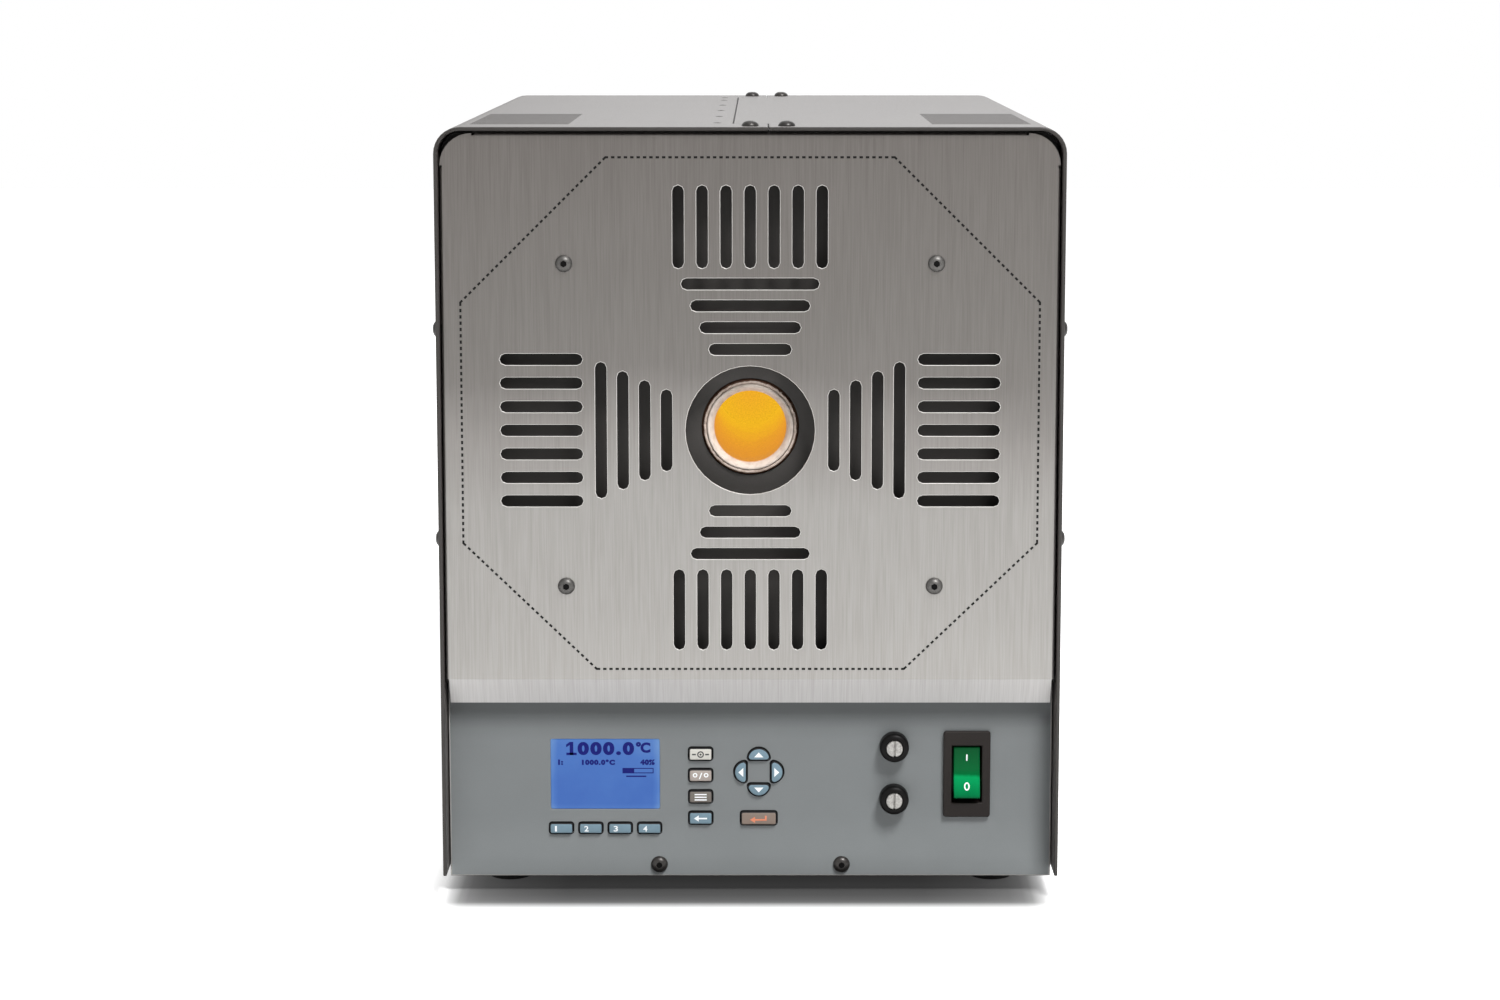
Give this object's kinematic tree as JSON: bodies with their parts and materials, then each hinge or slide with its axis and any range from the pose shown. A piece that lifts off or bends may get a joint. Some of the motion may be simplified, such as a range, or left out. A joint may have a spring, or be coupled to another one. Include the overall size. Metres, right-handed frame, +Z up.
{
  "type": "thermocouple calibration furnace",
  "caption": "Bench furnace with a horizontal heated ceramic tube behind a slotted shield, and a panel with display, keys, fuses and rocker switch below it.",
  "frame": {"origin": "on the bench under the middle of the case, at the feet's lower faces", "axes": "+X to the right as seen from the front, -Y out of the front, +Z up; the tube's axis runs along Y"},
  "size_m": [0.3496, 0.5, 0.4342],
  "materials": {
    "cover_paint": "satin",
    "panel_paint": "matte",
    "dark_paint": "matte",
    "shield_steel": "satin",
    "zinc_steel": "satin",
    "screw_steel": "satin",
    "screw_black": "satin",
    "rubber": "matte",
    "tube_ceramic": "matte",
    "hot_block": "matte",
    "fibre": "matte",
    "packing": "matte",
    "display_blue": "gloss",
    "circuit_board": "satin",
    "blue_key": "matte",
    "white_key": "matte",
    "light_taupe_key": "matte",
    "dark_taupe_key": "matte",
    "brown_key": "matte",
    "black_plastic": "satin",
    "green_rocker": "gloss",
    "fuse_cap": "satin",
    "fuse_glass": "gloss",
    "heat_sink": "satin"
  },
  "bodies": {
    "housing": {"base_chassis": "zinc_steel", "front_bulkhead": "dark_paint", "rear_panel": "cover_paint", "furnace_shelf": "zinc_steel", "left_cover": "cover_paint", "right_cover": "cover_paint", "seam_strip": "zinc_steel", "front_shield": "shield_steel", "rear_shield": "shield_steel", "foot_front_left": "rubber", "foot_front_right": "rubber", "foot_rear_left": "rubber", "foot_rear_right": "rubber", "furnace_tube": "tube_ceramic", "isothermal_block": "hot_block", "heater": "fibre", "insulation_upper": "fibre", "insulation_lower": "fibre", "front_collar": "packing", "rear_collar": "packing", "control_thermocouple": "zinc_steel", "control_panel": "panel_paint", "display_window": "display_blue", "panel_board": "circuit_board", "controller_board": "circuit_board", "power_relay": "heat_sink", "switch_bezel": "black_plastic", "fuse_holder_upper": "black_plastic", "fuse_holder_lower": "black_plastic", "fan_frame": "black_plastic", "power_inlet": "black_plastic", "shield_screw_upper_left": "screw_steel", "shield_screw_upper_right": "screw_steel", "shield_screw_lower_left": "screw_steel", "shield_screw_lower_right": "screw_steel", "top_screw_left": "screw_black", "top_screw_right": "screw_black", "side_screw_left_upper": "screw_black", "side_screw_left_lower": "screw_black", "side_screw_right_upper": "screw_black", "side_screw_right_lower": "screw_black"},
    "f1_button": {"key_f1": "blue_key"},
    "f2_button": {"key_f2": "blue_key"},
    "f3_button": {"key_f3": "blue_key"},
    "f4_button": {"key_f4": "blue_key"},
    "setpoint_button": {"key_setpoint": "white_key"},
    "units_button": {"key_units": "light_taupe_key"},
    "menu_button": {"key_menu": "dark_taupe_key"},
    "exit_button": {"key_exit": "blue_key"},
    "right_button": {"key_right": "blue_key"},
    "up_button": {"key_up": "blue_key"},
    "left_button": {"key_left": "blue_key"},
    "down_button": {"key_down": "blue_key"},
    "enter_button": {"key_enter": "brown_key"},
    "rocker": {"switch_rocker": "green_rocker"},
    "upper_fuse": {"fuse_link_upper": "fuse_glass"},
    "lower_fuse": {"fuse_link_lower": "fuse_glass"},
    "upper_cap": {"fuse_cap_upper": "fuse_cap"},
    "lower_cap": {"fuse_cap_lower": "fuse_cap"},
    "fan": {"fan_rotor": "black_plastic"}
  },
  "joints": [
    {"name": "press_f1", "type": "slide", "parent": "housing", "child": "f1_button", "axis": [0, 1, 0], "range_m": [0, 0.001], "stiffness_N_per_m": 400},
    {"name": "press_f2", "type": "slide", "parent": "housing", "child": "f2_button", "axis": [0, 1, 0], "range_m": [0, 0.001], "stiffness_N_per_m": 400},
    {"name": "press_f3", "type": "slide", "parent": "housing", "child": "f3_button", "axis": [0, 1, 0], "range_m": [0, 0.001], "stiffness_N_per_m": 400},
    {"name": "press_f4", "type": "slide", "parent": "housing", "child": "f4_button", "axis": [0, 1, 0], "range_m": [0, 0.001], "stiffness_N_per_m": 400},
    {"name": "press_setpoint", "type": "slide", "parent": "housing", "child": "setpoint_button", "axis": [0, 1, 0], "range_m": [0, 0.001], "stiffness_N_per_m": 400},
    {"name": "press_units", "type": "slide", "parent": "housing", "child": "units_button", "axis": [0, 1, 0], "range_m": [0, 0.001], "stiffness_N_per_m": 400},
    {"name": "press_menu", "type": "slide", "parent": "housing", "child": "menu_button", "axis": [0, 1, 0], "range_m": [0, 0.001], "stiffness_N_per_m": 400},
    {"name": "press_exit", "type": "slide", "parent": "housing", "child": "exit_button", "axis": [0, 1, 0], "range_m": [0, 0.001], "stiffness_N_per_m": 400},
    {"name": "press_right", "type": "slide", "parent": "housing", "child": "right_button", "axis": [0, 1, 0], "range_m": [0, 0.001], "stiffness_N_per_m": 400},
    {"name": "press_up", "type": "slide", "parent": "housing", "child": "up_button", "axis": [0, 1, 0], "range_m": [0, 0.001], "stiffness_N_per_m": 400},
    {"name": "press_left", "type": "slide", "parent": "housing", "child": "left_button", "axis": [0, 1, 0], "range_m": [0, 0.001], "stiffness_N_per_m": 400},
    {"name": "press_down", "type": "slide", "parent": "housing", "child": "down_button", "axis": [0, 1, 0], "range_m": [0, 0.001], "stiffness_N_per_m": 400},
    {"name": "press_enter", "type": "slide", "parent": "housing", "child": "enter_button", "axis": [0, 1, 0], "range_m": [0, 0.001], "stiffness_N_per_m": 400},
    {"name": "rock", "type": "hinge", "parent": "housing", "child": "rocker", "pos_m": [0.1216, -0.2299, 0.0684], "axis": [1, 0, 0], "range_deg": [0, 20]},
    {"name": "draw_upper_fuse", "type": "slide", "parent": "housing", "child": "upper_fuse", "axis": [0, -1, 0], "range_m": [0, 0.045]},
    {"name": "draw_lower_fuse", "type": "slide", "parent": "housing", "child": "lower_fuse", "axis": [0, -1, 0], "range_m": [0, 0.045]},
    {"name": "turn_upper_cap", "type": "hinge", "parent": "upper_fuse", "child": "upper_cap", "pos_m": [0.0807, -0.238, 0.0844], "axis": [0, -1, 0], "range_deg": [0, 90]},
    {"name": "turn_lower_cap", "type": "hinge", "parent": "lower_fuse", "child": "lower_cap", "pos_m": [0.0807, -0.238, 0.0544], "axis": [0, -1, 0], "range_deg": [0, 90]},
    {"name": "fan_spin", "type": "hinge", "parent": "housing", "child": "fan", "pos_m": [0.095, 0.2185, 0.066], "axis": [0, 1, 0], "continuous": true}
  ]
}
